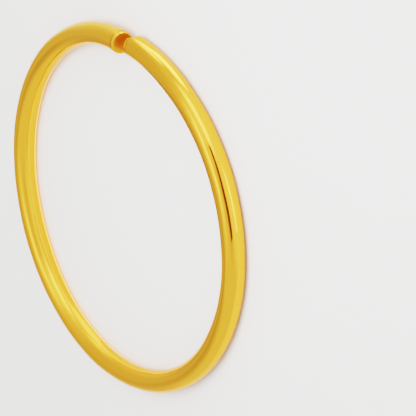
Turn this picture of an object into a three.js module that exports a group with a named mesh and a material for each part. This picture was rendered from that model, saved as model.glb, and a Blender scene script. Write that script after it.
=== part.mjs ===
// A plain open nose ring: one round gold wire bent into a hoop, whose two cut ends face each
// other across a narrow gap. Millimetres, +Z up. The hoop lies on its side on z = 0 with its
// centre on the Z axis. The gap is at +Y. The end on its -X side is sprung up a little, and the
// end on its +X side has its outer corner filed off.

import * as THREE from "three";

// Driving sizes, all lengths in millimetres
const wireDiameter = 0.64;
const innerDiameter = 9.25;
const gapWidth = 0.22;
const edgeBevel = 0.04;
const endLift = 0.17;
const liftLength = 3.3;
const filedDepth = 0.1;
const filedLength = 0.19;

// The wire was bent by hand, so the hoop swells past a true circle in three places. The first
// swelling's direction is in degrees from the gap towards +X.
const swelling = 0.03;
const swellingDirection = 73.4;
const swellingCount = 3;

// How finely the wire is divided, along it and around it. The sides are a multiple of four, so
// that one flat side faces straight down.
const stepsAlong = 120;
const sidesAround = 24;

const wireRadius = wireDiameter / 2;
const hoopRadius = (innerDiameter + wireDiameter) / 2;
const wireLength = 2 * Math.PI * hoopRadius - gapWidth;

// The middle line of the wire, from the end on the +X side of the gap (t = 0) all round the hoop
// to the end on the -X side (t = 1).
class HoopLine extends THREE.Curve {
  getPoint(t, target = new THREE.Vector3()) {
    const along = t * wireLength;
    const angle = (gapWidth / 2 + along) / hoopRadius;
    const fromSwelling = angle - THREE.MathUtils.degToRad(swellingDirection);
    const radius = hoopRadius + swelling * Math.cos(swellingCount * fromSwelling);
    const liftShare = Math.max(0, 1 - (wireLength - along) / liftLength);
    return target.set(
      radius * Math.sin(angle),
      radius * Math.cos(angle),
      endLift * liftShare ** 2,
    );
  }
}

// One ring of corners around the wire, square to its line at t, as far out as radius says. The
// flat sides of the ring touch the circle of that radius. Corners that the filed flat would cut
// off are drawn in to it on the end face itself, and back along the wire to it elsewhere.
function sectionAt(line, t, radius) {
  const centre = line.getPoint(t);
  const tangent = line.getTangent(t);
  const up = new THREE.Vector3(0, 0, 1).addScaledVector(tangent, -tangent.z).normalize();
  const outward = new THREE.Vector3().crossVectors(up, tangent);
  const cornerRadius = radius / Math.cos(Math.PI / sidesAround);
  const filedReach = wireRadius - filedDepth;
  return Array.from({ length: sidesAround }, (_, k) => {
    const angle = (2 * Math.PI * (k + 0.5)) / sidesAround;
    const fullReach = cornerRadius * Math.cos(angle);
    const reach = t === 0 ? Math.min(fullReach, filedReach) : fullReach;
    const flatAlong = ((reach - filedReach) * filedLength) / filedDepth;
    return centre
      .clone()
      .addScaledVector(outward, reach)
      .addScaledVector(up, cornerRadius * Math.sin(angle))
      .addScaledVector(tangent, Math.max(0, flatAlong - t * wireLength));
  });
}

// The sections from end to end. Each end starts smaller by the bevel and reaches the full wire
// one bevel further in.
function wireSections(line) {
  const bevelShare = edgeBevel / wireLength;
  const plainShare = 1 - 2 * bevelShare;
  const body = Array.from({ length: stepsAlong + 1 }, (_, k) =>
    sectionAt(line, bevelShare + (plainShare * k) / stepsAlong, wireRadius),
  );
  const endRadius = wireRadius - edgeBevel;
  return [sectionAt(line, 0, endRadius), ...body, sectionAt(line, 1, endRadius)];
}

// A closed skin over the sections: two triangles for each side between two sections, and a fan
// from the middle of each cut end. The faces point out of the wire.
function skinOver(sections) {
  const positions = sections.flat().flatMap((corner) => corner.toArray());
  const indices = [];
  for (let s = 0; s + 1 < sections.length; s += 1) {
    for (let k = 0; k < sidesAround; k += 1) {
      const a = s * sidesAround + k;
      const b = s * sidesAround + ((k + 1) % sidesAround);
      const c = a + sidesAround;
      const d = b + sidesAround;
      indices.push(a, b, c, b, d, c);
    }
  }
  addEndCap(positions, indices, sections, 0);
  addEndCap(positions, indices, sections, sections.length - 1);
  const geometry = new THREE.BufferGeometry();
  geometry.setAttribute("position", new THREE.Float32BufferAttribute(positions, 3));
  geometry.setIndex(indices);
  geometry.computeVertexNormals();
  return geometry;
}

function addEndCap(positions, indices, sections, s) {
  const middle = new THREE.Vector3();
  sections[s].forEach((corner) => middle.addScaledVector(corner, 1 / sidesAround));
  const middleIndex = positions.length / 3;
  positions.push(...middle.toArray());
  for (let k = 0; k < sidesAround; k += 1) {
    const a = s * sidesAround + k;
    const b = s * sidesAround + ((k + 1) % sidesAround);
    indices.push(middleIndex, ...(s === 0 ? [b, a] : [a, b]));
  }
}

const polishedGold = new THREE.MeshStandardMaterial({
  color: 0xe0ac33,
  roughness: 0.22,
  metalness: 1,
});

const hoop = new THREE.Mesh(skinOver(wireSections(new HoopLine())), polishedGold);
hoop.name = "hoop";
hoop.position.z = wireRadius;

const noseRing = new THREE.Group();
noseRing.add(hoop);

export default noseRing;
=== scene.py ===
"""A plain open nose ring of round gold wire, lying on its side on the floor of a soft studio."""

import math

import bpy
import numpy as np
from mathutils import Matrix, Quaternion, Vector


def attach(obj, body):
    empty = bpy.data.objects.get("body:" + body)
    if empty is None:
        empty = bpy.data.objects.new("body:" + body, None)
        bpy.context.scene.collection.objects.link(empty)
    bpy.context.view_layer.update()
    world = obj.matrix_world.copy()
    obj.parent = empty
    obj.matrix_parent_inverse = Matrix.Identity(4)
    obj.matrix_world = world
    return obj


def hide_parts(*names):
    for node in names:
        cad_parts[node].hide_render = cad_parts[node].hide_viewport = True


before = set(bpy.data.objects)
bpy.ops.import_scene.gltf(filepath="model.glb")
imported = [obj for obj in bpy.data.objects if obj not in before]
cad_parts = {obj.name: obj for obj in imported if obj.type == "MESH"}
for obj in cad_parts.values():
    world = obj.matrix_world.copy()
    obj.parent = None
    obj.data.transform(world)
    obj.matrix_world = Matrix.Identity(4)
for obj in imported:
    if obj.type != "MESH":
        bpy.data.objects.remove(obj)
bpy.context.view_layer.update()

bl_info = {
    "name": "Nose Ring",
    "version": (1, 0, 0),
    "blender": (4, 5, 0),
    "location": "View3D > Sidebar > Nose Ring",
    "description": "Bends a plain open gold nose ring and sets up the studio it lies in",
    "category": "Add Mesh",
}

MM = 0.001

# How finely the wire's skin is divided: around it, along its plain part, and along a stretch by
# each end, which is FINE_REACH times as long as the filed corner
SIDES_AROUND = 144
STEPS_ALONG = 480
FINE_STEPS = 40
FINE_REACH = 1.7

# Rows of an end face, as shares of its radius, and rows of its rim, as degrees round the rim
FACE_ROWS = (0.2, 0.4, 0.6, 0.78, 0.9, 0.97, 1.0)
RIM_ROWS = (18, 36, 54, 72, 90)

# Small fixed sizes: how far the skin is drawn in on the outward and inward sides, how far the
# groove is from the end, the half width of its bell shape, and the rounding of the filed corner
STEP_SLACK = 0.002 * MM
GROOVE_PLACE = 0.1 * MM
GROOVE_WIDTH = 0.028 * MM
FILED_ROUNDING = 0.012 * MM

# How much the groove's depth varies around the wire, and where that starts, in radians
GROOVE_UNEVENNESS = 0.3
GROOVE_START = 0.7

SWELLINGS = 3
UV_NAME = "Along and around"
FACE_NAME = "end_face"
GROOVE_NAME = "groove"


# Sizes and colours that a user would change


class HoopSizes(bpy.types.PropertyGroup):
    wire_diameter: bpy.props.FloatProperty(
        name="Wire diameter",
        description="Thickness of the round wire",
        default=0.64 * MM,
        min=0.2 * MM,
        precision=6,
        unit="LENGTH",
    )
    inner_diameter: bpy.props.FloatProperty(
        name="Inner diameter",
        description="Clear width inside the hoop",
        default=9.25 * MM,
        min=2 * MM,
        precision=6,
        unit="LENGTH",
    )
    gap_width: bpy.props.FloatProperty(
        name="Gap width",
        description="Distance between the two cut ends, along the wire",
        default=0.22 * MM,
        min=0.05 * MM,
        precision=6,
        unit="LENGTH",
    )
    edge_bevel: bpy.props.FloatProperty(
        name="Edge bevel",
        description="How far the rim of each cut end is broken",
        default=0.04 * MM,
        min=0.01 * MM,
        precision=6,
        unit="LENGTH",
    )
    end_lift: bpy.props.FloatProperty(
        name="End lift",
        description="How high the sprung end stands above the hoop's plane",
        default=0.17 * MM,
        min=0,
        precision=6,
        unit="LENGTH",
    )
    lift_length: bpy.props.FloatProperty(
        name="Lift length",
        description="Length of wire over which the sprung end rises",
        default=3.3 * MM,
        min=0.5 * MM,
        precision=6,
        unit="LENGTH",
    )
    filed_depth: bpy.props.FloatProperty(
        name="Filed depth",
        description="How deep the outer corner of the other end is filed, measured across the wire",
        default=0.1 * MM,
        min=0.01 * MM,
        precision=6,
        unit="LENGTH",
    )
    filed_length: bpy.props.FloatProperty(
        name="Filed length",
        description="How far along the wire the filed corner runs back",
        default=0.19 * MM,
        min=0.05 * MM,
        precision=6,
        unit="LENGTH",
    )
    swelling: bpy.props.FloatProperty(
        name="Swelling",
        description="How far the hand-bent hoop stands out past a true circle",
        default=0.03 * MM,
        min=0,
        precision=6,
        unit="LENGTH",
    )
    swelling_direction: bpy.props.FloatProperty(
        name="Swelling direction",
        description="Direction of the first swelling, from the gap towards +X",
        default=math.radians(73.4),
        subtype="ANGLE",
        unit="ROTATION",
    )
    groove_depth: bpy.props.FloatProperty(
        name="Groove depth",
        description="How deep the wire dips just behind each rim, where the cutter pinched it",
        default=0.016 * MM,
        min=0,
        precision=7,
        unit="LENGTH",
    )
    drawn_tilt: bpy.props.FloatProperty(
        name="Drawn tilt",
        description="How far each faint lengthwise flat from the drawing die tilts the skin",
        default=math.radians(0.9),
        min=0,
        precision=4,
        subtype="ANGLE",
        unit="ROTATION",
    )
    bent_tilt: bpy.props.FloatProperty(
        name="Bent tilt",
        description="How far each faint wave from bending and polishing tilts the skin",
        default=math.radians(0.35),
        min=0,
        precision=4,
        subtype="ANGLE",
        unit="ROTATION",
    )


class GoldLook(bpy.types.PropertyGroup):
    gold: bpy.props.FloatVectorProperty(
        name="Gold",
        description="Colour of the polished gold",
        default=(0.93, 0.43, 0.07),
        size=3,
        min=0,
        max=1,
        subtype="COLOR",
    )
    cut_gold: bpy.props.FloatVectorProperty(
        name="Cut gold",
        description="Colour of the gold on the two cut ends",
        default=(0.82, 0.43, 0.09),
        size=3,
        min=0,
        max=1,
        subtype="COLOR",
    )
    # Painted shade: this colour darkens the groove behind each rim, in place of the shade that the
    # shallow groove doesn't cast
    groove_shade_gold: bpy.props.FloatVectorProperty(
        name="Groove gold",
        description="Colour of the gold in the groove behind each rim, where polish residue stays",
        default=(0.5, 0.18, 0.02),
        size=3,
        min=0,
        max=1,
        subtype="COLOR",
    )
    roughness: bpy.props.FloatProperty(
        name="Roughness",
        description="Roughness of the polished gold where it is brightest",
        default=0.1,
        min=0,
        max=1,
        subtype="FACTOR",
    )
    dulling: bpy.props.FloatProperty(
        name="Dulling",
        description="Roughness added around the stretch that was worked most",
        default=0.15,
        min=0,
        max=1,
        subtype="FACTOR",
    )
    worked_place: bpy.props.FloatProperty(
        name="Worked place",
        description="Where along the wire it was worked most, as a share of its length",
        default=0.57,
        min=0,
        max=1,
        subtype="FACTOR",
    )
    cut_roughness: bpy.props.FloatProperty(
        name="Cut roughness",
        description="Roughness of the two cut ends",
        default=0.36,
        min=0,
        max=1,
        subtype="FACTOR",
    )
    mark_depth: bpy.props.FloatProperty(
        name="Mark depth",
        description="Depth of the finest polishing marks",
        default=0.0012 * MM,
        min=0,
        precision=7,
        unit="LENGTH",
    )


class StudioLook(bpy.types.PropertyGroup):
    floor_colour: bpy.props.FloatVectorProperty(
        name="Floor colour",
        description="Colour of the plain floor",
        default=(0.74, 0.73, 0.715),
        size=3,
        min=0,
        max=1,
        subtype="COLOR",
    )
    dome_brightness: bpy.props.FloatProperty(
        name="Dome brightness",
        description="Brightness of the plain part of the studio dome",
        default=0.97,
        min=0,
    )
    camera_distance: bpy.props.FloatProperty(
        name="Camera distance",
        description="From the camera to the middle of its picture",
        default=66.35 * MM,
        min=10 * MM,
        precision=5,
        unit="LENGTH",
    )
    lens: bpy.props.FloatProperty(
        name="Lens",
        description="Focal length on a sensor 36 mm wide",
        default=207.7,
        min=10,
    )


# Shader building


class Value:
    """One output socket. Arithmetic on it adds the Math nodes that work the answer out."""

    def __init__(self, maker, socket):
        self.maker, self.socket = maker, socket

    def maths(self, operation, *values):
        """The answer of one Math node, which takes the values in this order."""
        node = self.maker.add("ShaderNodeMath", {"operation": operation}, dict(enumerate(values)))
        return Value(self.maker, node.outputs[0])

    def __add__(self, other):
        return self.maths("ADD", self, other)

    __radd__ = __add__

    def __sub__(self, other):
        return self.maths("SUBTRACT", self, other)

    def __rsub__(self, other):
        return self.maths("SUBTRACT", other, self)

    def __mul__(self, other):
        return self.maths("MULTIPLY", self, other)

    __rmul__ = __mul__

    def __truediv__(self, other):
        return self.maths("DIVIDE", self, other)

    def __rtruediv__(self, other):
        return self.maths("DIVIDE", other, self)

    def __abs__(self):
        return self.maths("ABSOLUTE", self)

    def eased(self, start, end):
        """0 at start, 1 at end, with a smooth step between."""
        node = self.maker.add(
            "ShaderNodeMapRange",
            {"interpolation_type": "SMOOTHSTEP"},
            {"Value": self, "From Min": start, "From Max": end, "To Min": 0.0, "To Max": 1.0},
        )
        return Value(self.maker, node.outputs[0])


class NodeMaker:
    """Adds nodes to one node tree, which it empties first."""

    def __init__(self, tree):
        self.tree = tree
        tree.nodes.clear()

    def add(self, kind, settings=None, sockets=None):
        """A new node of this kind. It gets its settings first, then each socket's value or link."""
        node = self.tree.nodes.new(kind)
        for name, value in (settings or {}).items():
            setattr(node, name, value)
        for name, value in (sockets or {}).items():
            socket = node.inputs[name]
            if isinstance(value, Value):
                value = value.socket
            if isinstance(value, bpy.types.NodeSocket):
                self.tree.links.new(value, socket)
            else:
                socket.default_value = value
        return node

    def noise(self, where, scale, detail=2.0, roughness=0.5):
        """Smooth noise from 0 to 1 at the places that the vector socket says."""
        sockets = {"Vector": where, "Scale": scale, "Detail": detail, "Roughness": roughness}
        return Value(self, self.add("ShaderNodeTexNoise", None, sockets).outputs[0])

    def stretched(self, where, scale):
        """The vector where, multiplied by scale along each of its axes."""
        sockets = {"Vector": where, "Scale": scale}
        return self.add("ShaderNodeMapping", None, sockets).outputs[0]

    def mixed_colour(self, share, first, second):
        """first where share is 0, second where it is 1.

        The colour sockets of a Mix node go by number, because several share one name.
        """
        node = self.add("ShaderNodeMix", {"data_type": "RGBA"}, {0: share, 6: first, 7: second})
        return node.outputs[2]


PATCH_SHADE = 0.97


def with_alpha(colour):
    return (*colour, 1.0)


def patch_colour(colour):
    """The colour of the slightly darker patches in a surface of this colour."""
    return with_alpha([channel * PATCH_SHADE for channel in colour])


def new_material(name):
    material = bpy.data.materials.new(name)
    material.use_nodes = True
    return material, NodeMaker(material.node_tree)


def finish_material(maker, sockets):
    """Joins a Principled surface with these sockets to the material's output."""
    surface = maker.add("ShaderNodeBsdfPrincipled", None, sockets)
    maker.add("ShaderNodeOutputMaterial", None, {"Surface": surface.outputs[0]})


# The hoop


def wire_length(sizes):
    middle_radius = (sizes.inner_diameter + sizes.wire_diameter) / 2
    return 2 * math.pi * middle_radius - sizes.gap_width


def hoop_line(sizes, along):
    """The wire's middle line at each length along it, and its outward and upward directions.

    The angle from the gap grows evenly along the wire. The radius is the hoop's, plus a swelling
    that follows the cosine of three times the angle. The last stretch rises with the square of
    its share.
    """
    middle_radius = (sizes.inner_diameter + sizes.wire_diameter) / 2
    angle = (sizes.gap_width / 2 + along) / middle_radius
    swell = SWELLINGS * (angle - sizes.swelling_direction)
    radius = middle_radius + sizes.swelling * np.cos(swell)
    radius_slope = -SWELLINGS * sizes.swelling * np.sin(swell) / middle_radius
    share = np.clip(1 - (wire_length(sizes) - along) / sizes.lift_length, 0, None)
    height = sizes.wire_diameter / 2 + sizes.end_lift * share**2
    height_slope = 2 * sizes.end_lift * share / sizes.lift_length
    sin, cos = np.sin(angle), np.cos(angle)
    point = np.stack([radius * sin, radius * cos, height], axis=-1)
    turn = radius / middle_radius
    tangent = np.stack(
        [radius_slope * sin + turn * cos, radius_slope * cos - turn * sin, height_slope], axis=-1
    )
    tangent /= np.linalg.norm(tangent, axis=-1, keepdims=True)
    up = np.array([0.0, 0.0, 1.0]) - tangent * tangent[:, 2:3]
    up /= np.linalg.norm(up, axis=-1, keepdims=True)
    return point, np.cross(up, tangent), up


def wire_rows(sizes):
    """Rows of the wire's skin, from the middle of one end face to the middle of the other.

    Each row has a length along the wire, a radius, and how far it belongs to an end face. A face's
    rows share one length and grow in radius, a rim's rows run round a quarter circle, and the
    body's rows keep the full radius. The rows stand closer together near both ends.
    """
    wire_radius = sizes.wire_diameter / 2
    bevel, length = sizes.edge_bevel, wire_length(sizes)
    face_radius = wire_radius - bevel
    face = np.array(FACE_ROWS) * face_radius
    turn = np.radians(RIM_ROWS)
    rim_along = bevel * (1 - np.cos(turn))
    rim_radius = face_radius + bevel * np.sin(turn)
    fine_end = FINE_REACH * sizes.filed_length
    fine = np.linspace(bevel, fine_end, FINE_STEPS)[1:]
    plain = np.linspace(fine_end, length - fine_end, STEPS_ALONG)[1:-1]
    start_along = np.concatenate([face * 0, rim_along])
    start_radius = np.concatenate([face, rim_radius])
    start_face = np.concatenate([np.ones(len(face)), np.zeros(len(rim_along))])
    body = np.concatenate([fine, plain, (length - fine)[::-1]])
    along = np.concatenate([start_along, body, (length - start_along)[::-1]])
    radius = np.concatenate([start_radius, np.full(len(body), wire_radius), start_radius[::-1]])
    on_face = np.concatenate([start_face, np.zeros(len(body)), start_face[::-1]])
    return along, radius, on_face


def soft_lesser(a, b, rounding):
    """The lesser of a and b, rounded over where they are within the rounding of each other."""
    share = np.clip(0.5 + 0.5 * (b - a) / rounding, 0, 1)
    return b + (a - b) * share - rounding * share * (1 - share)


# Faint waves in the wire's skin. Those from drawing go a whole number of times around the wire
# and drift as they run along it. Those from bending have a length and sway as they go around it.
DRAWN_WAVES = [
    # times around, drift in radians per millimetre, start
    (2, 0.21, 0.8),
    (5, -0.13, 2.1),
    (9, 0.34, 4.0),
    (14, -0.26, 1.3),
    (19, 0.17, 5.2),
    (23, -0.4, 3.3),
]
BENT_WAVES = [
    # length in millimetres, sway, start
    (3.7, 1.0, 0.5),
    (1.55, 1.4, 2.2),
    (0.62, 0.9, 1.0),
    (0.34, 0.6, 4.4),
]


def groove_share(sizes, along, around):
    """How far a place lies in the groove behind a rim: 0 outside it, up to 1 in its middle.

    The groove's section is a bell shape. Its depth varies around the wire with the product of two
    cosines, of the angle and of three times the angle.
    """
    from_end = np.minimum(along, wire_length(sizes) - along)
    bell = np.exp(-(((from_end - GROOVE_PLACE) / GROOVE_WIDTH) ** 2))
    waver = np.cos(3 * around + GROOVE_START) * np.cos(around)
    return bell * (1 - GROOVE_UNEVENNESS + GROOVE_UNEVENNESS * waver)


def wire_relief(sizes, along, around):
    """How far the skin lies below the true round, from drawing, bending, polishing and cutting.

    Each wave is a cosine as deep as it is long, so that all the drawn waves tilt the skin by one
    angle and all the bent waves by another. The waves fade out on the lines along the wire that
    face outward, inward, up and down, which set the overall size. The groove is added all round.
    The skin is drawn in by a hair on the outward and inward sides, so that it stays inside the
    straight steps of the hoop it replaces.
    """
    mm = along / MM
    drawn = sum(
        np.cos(times * around + drift * mm + start) / times
        for times, drift, start in DRAWN_WAVES
    )
    bent = sum(
        np.cos(2 * math.pi * mm / length + sway * np.cos(around + start) + start) * length
        for length, sway, start in BENT_WAVES
    )
    drawn_depth = sizes.drawn_tilt * sizes.wire_diameter / 2 * drawn
    bent_depth = sizes.bent_tilt * MM / (2 * math.pi) * bent
    waves = (drawn_depth + bent_depth) * np.sin(2 * around) ** 2
    drawn_in = STEP_SLACK * np.cos(around) ** 2
    return waves + drawn_in + sizes.groove_depth * groove_share(sizes, along, around)


def hoop_points(sizes):
    """Corners of the wire's skin, the middles of its two end faces, and two shares per corner.

    The corners are an array of rows by sides by three. A corner's position is the wire's middle
    line plus its radius, times the cosine of its angle outward and the sine upward. The filed flat
    limits the outward part. The shares say how far a corner belongs to an end face, and how far to
    a groove.
    """
    along, radius, on_face = wire_rows(sizes)
    around = 2 * math.pi * np.arange(SIDES_AROUND) / SIDES_AROUND
    grid_along, grid_around = along[:, None], around[None, :]
    full = radius[:, None] - wire_relief(sizes, grid_along, grid_around) * (1 - on_face[:, None])
    reach = full * np.cos(grid_around)
    height = full * np.sin(grid_around)
    filed = sizes.wire_diameter / 2 - sizes.filed_depth
    filed = filed + grid_along * sizes.filed_depth / sizes.filed_length
    reach = soft_lesser(reach, filed, FILED_ROUNDING)
    line, outward, up = hoop_line(sizes, along)
    corners = line[:, None] + reach[..., None] * outward[:, None] + height[..., None] * up[:, None]
    on_faces = np.repeat(on_face[:, None], SIDES_AROUND, axis=1)
    grooves = groove_share(sizes, grid_along, grid_around) * (1 - on_faces)
    return corners, line[0], line[-1], {FACE_NAME: on_faces, GROOVE_NAME: grooves}


def way_along(corners, start):
    """The share of the way along the skin at each row, counted from the middle of the first face.

    A row is as far from the one before it as their middles are apart and their radii differ.
    """
    middles = corners.mean(axis=1)
    radii = np.linalg.norm(corners - middles[:, None], axis=2).mean(axis=1)
    steps = np.linalg.norm(np.diff(middles, axis=0), axis=1)
    run = np.concatenate([[0.0], np.cumsum(np.hypot(steps, np.diff(radii)))])
    first = np.linalg.norm(corners[0] - start, axis=1).mean()
    return (run + first) / (run[-1] + 2 * first)


def uv_pairs(*corners):
    """UV pairs of many faces as one list. Each argument is one corner's pair over all the faces."""
    pairs = [np.stack(np.broadcast_arrays(*corner), axis=1) for corner in corners]
    return np.stack(pairs, axis=1).reshape(-1, 2)


def closed_tube(name, corners, start, end, shares):
    """A mesh over a grid of corners that closes around, with a fan over each end.

    Its UV map holds the share of the way along the skin and around it. Each of the named shares
    becomes an attribute, and the two middles take it from the first and last rows.
    """
    rows, sides = corners.shape[:2]
    points = np.concatenate([corners.reshape(-1, 3), start[None], end[None]])
    row, side = np.meshgrid(np.arange(rows - 1), np.arange(sides), indexing="ij")
    row, side = row.ravel(), side.ravel()
    following = (side + 1) % sides
    quads = np.stack(
        [
            row * sides + side,
            row * sides + following,
            (row + 1) * sides + following,
            (row + 1) * sides + side,
        ],
        axis=1,
    )
    k = np.arange(sides)
    k_next = (k + 1) % sides
    start_fan = np.stack([np.full(sides, rows * sides), k_next, k], axis=1)
    last = (rows - 1) * sides
    end_fan = np.stack([np.full(sides, rows * sides + 1), last + k, last + k_next], axis=1)

    run = way_along(corners, start)
    left, right = side / sides, (side + 1) / sides
    fan_left, fan_middle, fan_right = k / sides, (k + 0.5) / sides, (k + 1) / sides
    uv = np.concatenate(
        [
            uv_pairs(
                (run[row], left), (run[row], right), (run[row + 1], right), (run[row + 1], left)
            ),
            uv_pairs((0.0, fan_middle), (run[0], fan_right), (run[0], fan_left)),
            uv_pairs((1.0, fan_middle), (run[-1], fan_left), (run[-1], fan_right)),
        ]
    )

    mesh = bpy.data.meshes.new(name)
    mesh.from_pydata(points.tolist(), [], quads.tolist() + start_fan.tolist() + end_fan.tolist())
    mesh.uv_layers.new(name=UV_NAME).data.foreach_set("uv", uv.ravel())
    for share_name, share in shares.items():
        values = np.concatenate([share.ravel(), [share[0, 0], share[-1, 0]]])
        mesh.attributes.new(share_name, "FLOAT", "POINT").data.foreach_set("value", values)
    mesh.polygons.foreach_set("use_smooth", np.ones(len(mesh.polygons), dtype=bool))
    mesh.update()
    mesh.validate()
    return mesh


# How finely the gold's marks repeat per millimetre, along the wire and around it
LENGTHWISE_MARKS = (0.35, 20.0, 1.0)
CROSSWISE_MARKS = (17.0, 0.9, 1.0)
TONE_PATCHES = (0.5, 0.5, 1.0)
END_SCUFFS = (6.0, 7.0, 1.0)
FILE_MARKS = (9.0, 14.0, 1.0)

# Heights of the scuffs and of the file marks, where the finest marks are 1
SCUFF_HEIGHT = 2.2
FILE_MARK_HEIGHT = 6.0

# Where each change in the gold starts and is full, as shares of the wire's length: the first two
# from the worked place, the last from the middle of the wire
CROSSWISE_FADE = (0.085, 0.03)
DULL_FADE = (0.3, 0.1)
END_FADE = (0.4, 0.47)

# How much the marks vary the roughness, the roughness added in the grooves, how far the groove's
# painted shade covers the gold's colour, and the tint of the gold where it is seen along its skin
POLISH_VARIATION = 0.3
GROOVE_DULLING = 0.1
GROOVE_SHADE_COVER = 0.9
GRAZING_TINT = (1.0, 0.92, 0.76)


def gold_material(look, sizes):
    """Polished yellow gold.

    Fine marks run along it, and across it where it was worked most, which is also duller. Near
    both ends it has scuffs. The cut ends are duller and redder, and the grooves get a painted
    shade.
    """
    material, maker = new_material("polished gold")
    uv = maker.add("ShaderNodeUVMap", {"uv_map": UV_NAME}).outputs[0]

    def share(name):
        node = maker.add("ShaderNodeAttribute", {"attribute_name": name})
        return Value(maker, node.outputs["Fac"])

    face, groove = share(FACE_NAME), share(GROOVE_NAME)
    length = wire_length(sizes) / MM
    girth = math.pi * sizes.wire_diameter / MM
    on_skin = maker.stretched(uv, (length, girth, 1.0))
    along = Value(maker, maker.add("ShaderNodeSeparateXYZ", None, {0: uv}).outputs["X"])

    def marks_at(scale, detail=3.0, roughness=0.6):
        return maker.noise(maker.stretched(on_skin, scale), 1.0, detail, roughness)

    from_worked = abs(along - look.worked_place)
    worked = from_worked.eased(*CROSSWISE_FADE)
    dulled = from_worked.eased(*DULL_FADE)
    by_ends = abs(along - 0.5).eased(*END_FADE)
    marks = marks_at(LENGTHWISE_MARKS) * (1 - worked) + marks_at(CROSSWISE_MARKS, 2.0) * worked
    skin_marks = marks * (1 + by_ends) + marks_at(END_SCUFFS) * by_ends * SCUFF_HEIGHT
    file_marks = marks_at(FILE_MARKS, 3.0, 0.65) * FILE_MARK_HEIGHT
    height = skin_marks * (1 - face) + file_marks * face
    bump = maker.add(
        "ShaderNodeBump", None, {"Height": height, "Strength": 1.0, "Distance": look.mark_depth}
    )
    polish = look.roughness * (1 - POLISH_VARIATION / 2 + POLISH_VARIATION * marks)
    polish = polish + look.dulling * dulled + GROOVE_DULLING * groove
    patches = marks_at(TONE_PATCHES, 2.0, 0.5)
    tone = maker.mixed_colour(patches, patch_colour(look.gold), with_alpha(look.gold))
    # Painted shade: the grooves are darkened towards a deep brown, as shade in the dip behind each
    # rim
    tone = maker.mixed_colour(groove * GROOVE_SHADE_COVER, tone, with_alpha(look.groove_shade_gold))
    finish_material(
        maker,
        {
            "Base Color": maker.mixed_colour(face, tone, with_alpha(look.cut_gold)),
            "Metallic": 1.0,
            "Specular Tint": with_alpha(GRAZING_TINT),
            "Roughness": polish * (1 - face) + look.cut_roughness * face,
            "Normal": bump.outputs[0],
        },
    )
    return material


class BendHoop(bpy.types.Operator):
    """Bend the open gold hoop, with its two cut ends, its sprung end and its filed corner"""

    bl_idname = "nose_ring.bend_hoop"
    bl_label = "Hoop"

    def execute(self, context):
        sizes = context.scene.nose_ring_sizes
        corners, start, end, shares = hoop_points(sizes)
        mesh = closed_tube("gold_hoop", corners, start, end, shares)
        mesh.materials.append(gold_material(context.scene.nose_ring_gold, sizes))
        hoop = bpy.data.objects.new("gold_hoop", mesh)
        context.scene.collection.objects.link(hoop)
        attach(hoop, "root")
        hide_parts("hoop")
        return {"FINISHED"}


# The studio


# Panels of the studio dome. All but the last two numbers are in degrees. Azimuth is 0 on -Y and 90
# on +X, and the sizes are half sizes.
PANELS = [
    # azimuth, elevation, half width, half height, softness, brightness added
    (161, 20, 18, 15, 0.6, 1.7),  # back softbox
    (164, 48, 12, 18, 0.8, 0.45),  # tall strip
    (-151, 5, 9, 10, 0.8, 1.9),  # back strip
    (-170, 78, 5, 16, 0.8, 1.35),  # overhead strip
    (-80, 84, 14, 14, 0.9, 0.6),  # overhead glow
    (112, 6, 36, 22, 0.7, 0.42),  # side glow
    (-98, 42, 36, 24, 0.7, -0.24),  # dim side
    (-37, 37, 17, 13, 0.9, -0.38),  # dim corner
    (-56, 3, 27, 17, 0.8, -0.44),  # far side
    (106, 52, 26, 10, 0.6, -0.22),  # camera side
]

# How far past the plane through the dome's middle a panel is full, as a share of the way to it
PANEL_HORIZON = 0.05


def dome_panel(maker, direction, azimuth, elevation, half_width, half_height, softness):
    """How far a direction falls on a flat panel: 1 on the panel, easing to 0 over its soft edge."""
    a, e = math.radians(azimuth), math.radians(elevation)
    ahead = Vector((math.sin(a) * math.cos(e), -math.cos(a) * math.cos(e), math.sin(e)))
    side = ahead.cross(Vector((0, 0, 1))).normalized()

    def along(axis):
        node = maker.add(
            "ShaderNodeVectorMath", {"operation": "DOT_PRODUCT"}, {0: direction, 1: axis}
        )
        return Value(maker, node.outputs["Value"])

    depth = along(ahead)

    def within(axis, half_size):
        off = abs(along(axis) / depth) / math.tan(math.radians(half_size))
        return off.eased(1 + softness, 1 - softness)

    on_panel = within(side, half_width) * within(side.cross(ahead), half_height)
    return on_panel * depth.eased(0.0, PANEL_HORIZON)


def light_dome(scene, look):
    """A plain bright dome with a few soft panels, brighter or dimmer than the rest."""
    world = bpy.data.worlds.new("studio dome")
    world.use_nodes = True
    maker = NodeMaker(world.node_tree)
    direction = maker.add("ShaderNodeTexCoord").outputs["Generated"]
    brightness = look.dome_brightness
    for *panel, added in PANELS:
        brightness = brightness + dome_panel(maker, direction, *panel) * added
    background = maker.add(
        "ShaderNodeBackground", None, {"Color": (1.0, 1.0, 1.0, 1.0), "Strength": brightness}
    )
    maker.add("ShaderNodeOutputWorld", None, {"Surface": background.outputs[0]})
    scene.world = world


WHITE = (1.0, 1.0, 1.0)

# How far the cards on the floor lie above it, in millimetres
FLOOR_LIFT = 0.01


def on_floor(*corners):
    """Corners in millimetres that lie a hair above the floor."""
    return [(x, y, FLOOR_LIFT) for x, y in corners]


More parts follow.
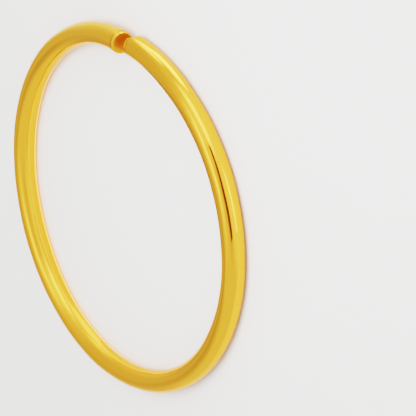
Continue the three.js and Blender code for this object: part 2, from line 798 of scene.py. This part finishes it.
# Cards that only reflections see, with corners in millimetres. The dark one gives the thin dark
# streak on the +X side of the hoop. The bright ones lie on the floor and give bright bands.
CARDS = [
    # name, corners, colour, glow
    (
        "dark card",
        [(9.2, 11.8, 11.6), (14.5, -0.9, 11.6), (65.3, -2.9, 39.8), (41.1, 54.2, 39.8)],
        (0.15, 0.06, 0.015),
        0.0,
    ),
    (
        "card by the gap",
        on_floor((1.0, 5.5), (2.7, 5.1), (2.2, 6.4), (-2.6, 11.0), (-4.2, 9.6)),
        WHITE,
        1.6,
    ),
    (
        "card by the side",
        on_floor((5.3, 3.3), (6.0, 4.8), (8.5, 3.0), (8.2, 1.5), (6.3, 1.5)),
        WHITE,
        0.8,
    ),
    (
        "card inside the hoop",
        on_floor((-1.1, -4.4), (-1.7, -4.2), (-2.2, -3.8), (-2.5, -0.5), (-0.8, -0.8)),
        WHITE,
        0.4,
    ),
]
CARD_ROUGHNESS = 0.9

# The dim strip. In degrees from the gap towards +X: where it starts and ends, and the stretch over
# which it rises. In millimetres: its height, its foot's height, and how far it stands from the
# wire's middle line.
DIM_START, DIM_END, DIM_RISE = 12, 92, 20
DIM_COLUMNS = 33
DIM_HEIGHT = 1.9
DIM_FOOT = 0.1
DIM_SHIFT = (-1.0176, -0.636, 0.0)
DIM_COLOUR = (0.32, 0.3, 0.26)

# The floor strip: where it starts and ends, in the same degrees, its two edges as shares of the way
# to the wire's middle line, and its glow
FLOOR_STRIP_START, FLOOR_STRIP_END = 165, 352
FLOOR_STRIP_COLUMNS = 48
FLOOR_STRIP_EDGES = (0.945, 0.985)
FLOOR_STRIP_GLOW = 0.8


def hang_card(scene, name, points, faces, colour, glow):
    """A matt card that only reflections see."""
    mesh = bpy.data.meshes.new(name)
    mesh.from_pydata(points, [], faces)
    material, maker = new_material(name)
    sockets = {"Base Color": with_alpha(colour), "Roughness": CARD_ROUGHNESS}
    if glow:
        sockets.update({"Emission Color": with_alpha(colour), "Emission Strength": glow})
    finish_material(maker, sockets)
    mesh.materials.append(material)
    card = bpy.data.objects.new(name, mesh)
    scene.collection.objects.link(card)
    card.visible_camera = card.visible_diffuse = card.visible_shadow = False


def hang_cards(scene):
    for name, corners, colour, glow in CARDS:
        points = [Vector(corner) * MM for corner in corners]
        hang_card(scene, name, points, [tuple(range(len(corners)))], colour, glow)


def hang_strip(scene, name, edge, other_edge, colour, glow):
    """A card between two edges, each an array of points."""
    columns = len(edge)
    k = np.arange(columns - 1)
    faces = np.stack([k, k + 1, columns + k + 1, columns + k], axis=1)
    points = np.concatenate([edge, other_edge])
    hang_card(scene, name, points.tolist(), faces.tolist(), colour, glow)


def flat_line(sizes, degrees):
    """The wire's middle line at these angles from the gap, laid down on the floor."""
    middle_radius = (sizes.inner_diameter + sizes.wire_diameter) / 2
    line = hoop_line(sizes, np.radians(degrees) * middle_radius)[0]
    line[:, 2] = 0.0
    return line


def hang_strips(scene, sizes):
    """Two strips inside the hoop that follow the wire.

    A dim one stands a little way off its +X side. Its height rises evenly from nothing near the
    gap, and falls with a cosine to nothing at its far end. A bright one lies on the floor under
    the inner half of the wire on its -X side.
    """
    up = np.array([0.0, 0.0, 1.0]) * MM
    degrees = np.linspace(DIM_START, DIM_END, DIM_COLUMNS)
    foot = flat_line(sizes, degrees) + np.array(DIM_SHIFT) * MM + DIM_FOOT * up
    rise = np.clip((degrees - DIM_START) / DIM_RISE, 0, 1)
    height = DIM_HEIGHT * rise * np.cos(np.radians(degrees * 90 / DIM_END))
    hang_strip(scene, "dim strip", foot, foot + height[:, None] * up, DIM_COLOUR, 0.0)

    degrees = np.linspace(FLOOR_STRIP_START, FLOOR_STRIP_END, FLOOR_STRIP_COLUMNS)
    line = flat_line(sizes, degrees)
    inner, outer = (line * share + FLOOR_LIFT * up for share in FLOOR_STRIP_EDGES)
    hang_strip(scene, "floor strip", inner, outer, WHITE, FLOOR_STRIP_GLOW)


# The softbox: its width, its place in millimetres, the spread of its light and its power in watts
KEY_WIDTH = 24 * MM
KEY_PLACE = (14, 16, 30)
KEY_SPREAD = math.radians(120)
KEY_POWER = 0.0062


def hang_key(scene):
    """A softbox above the +Y side that lights the floor. Camera and reflections don't show it."""
    light = bpy.data.lights.new("key", "AREA")
    light.shape = "SQUARE"
    light.size = KEY_WIDTH
    light.spread = KEY_SPREAD
    light.energy = KEY_POWER
    key = bpy.data.objects.new("key", light)
    key.location = Vector(KEY_PLACE) * MM
    key.rotation_mode = "QUATERNION"
    key.rotation_quaternion = (-key.location).to_track_quat("-Z", "Y")
    scene.collection.objects.link(key)
    key.visible_camera = key.visible_glossy = False


# The floor's half width in metres, and how finely its mottle repeats per metre
FLOOR_REACH = 2.0
MOTTLE_SCALE = 220.0


def floor_material(look):
    """A plain pale matt floor with a faint mottle. It has no gloss, so it doesn't mirror cards."""
    material, maker = new_material("pale floor")
    place = maker.add("ShaderNodeTexCoord").outputs["Object"]
    mottle = maker.noise(place, MOTTLE_SCALE, 3.0, 0.6)
    darker, plain = patch_colour(look.floor_colour), with_alpha(look.floor_colour)
    colour = maker.mixed_colour(mottle, darker, plain)
    finish_material(maker, {"Base Color": colour, "Roughness": 0.85, "Specular IOR Level": 0.0})
    return material


def lay_floor(scene, look):
    mesh = bpy.data.meshes.new("floor")
    corners = [(-1, -1, 0), (1, -1, 0), (1, 1, 0), (-1, 1, 0)]
    mesh.from_pydata([Vector(corner) * FLOOR_REACH for corner in corners], [], [(0, 1, 2, 3)])
    mesh.materials.append(floor_material(look))
    floor = bpy.data.objects.new("floor", mesh)
    scene.collection.objects.link(floor)


# The camera: the middle of its picture in millimetres, the way it looks and its roll in degrees
PICTURE_MIDDLE = (1.415, 0.146, -1.554)
LOOKING = (-0.70444, -0.42922, -0.56528)
ROLL = -105.66
SENSOR_WIDTH = 36


def set_camera(scene, look):
    """The camera stands above the +X side, rolled so that the hoop is upright in its picture."""
    camera = bpy.data.objects.new("camera", bpy.data.cameras.new("camera"))
    camera.data.lens = look.lens
    camera.data.sensor_width = SENSOR_WIDTH
    camera.data.clip_start = 1 * MM
    camera.data.clip_end = 100
    ahead = Vector(LOOKING)
    camera.location = Vector(PICTURE_MIDDLE) * MM - ahead * look.camera_distance
    level = ahead.to_track_quat("-Z", "Y")
    camera.rotation_mode = "QUATERNION"
    camera.rotation_quaternion = level @ Quaternion((0, 0, 1), math.radians(ROLL))
    scene.collection.objects.link(camera)
    scene.camera = camera


class SetStage(bpy.types.Operator):
    """Lay the pale floor, light the studio dome and place the camera"""

    bl_idname = "nose_ring.set_stage"
    bl_label = "Studio"

    def execute(self, context):
        scene = context.scene
        look = scene.nose_ring_studio
        lay_floor(scene, look)
        light_dome(scene, look)
        hang_key(scene)
        hang_cards(scene)
        hang_strips(scene, scene.nose_ring_sizes)
        set_camera(scene, look)
        scene.view_settings.view_transform = "Filmic"
        scene.view_settings.look = "Very High Contrast"
        return {"FINISHED"}


class NoseRingPanel(bpy.types.Panel):
    bl_idname = "VIEW3D_PT_nose_ring"
    bl_label = "Nose Ring"
    bl_space_type = "VIEW_3D"
    bl_region_type = "UI"
    bl_category = "Nose Ring"

    def draw(self, context):
        for operator, group in PANEL_ROWS:
            box = self.layout.box()
            box.operator(operator.bl_idname)
            for settings in group:
                values = getattr(context.scene, settings)
                for name in values.bl_rna.properties.keys():
                    if name not in ("rna_type", "name"):
                        box.prop(values, name)


PANEL_ROWS = [
    (BendHoop, ("nose_ring_sizes", "nose_ring_gold")),
    (SetStage, ("nose_ring_studio",)),
]
CLASSES = (HoopSizes, GoldLook, StudioLook, BendHoop, SetStage, NoseRingPanel)
SETTINGS = {
    "nose_ring_sizes": HoopSizes,
    "nose_ring_gold": GoldLook,
    "nose_ring_studio": StudioLook,
}


def register():
    for cls in CLASSES:
        bpy.utils.register_class(cls)
    for name, group in SETTINGS.items():
        setattr(bpy.types.Scene, name, bpy.props.PointerProperty(type=group))


def unregister():
    for name in SETTINGS:
        delattr(bpy.types.Scene, name)
    for cls in reversed(CLASSES):
        bpy.utils.unregister_class(cls)


def main():
    register()
    bpy.ops.nose_ring.bend_hoop()
    bpy.ops.nose_ring.set_stage()


if __name__ == "__main__":
    main()
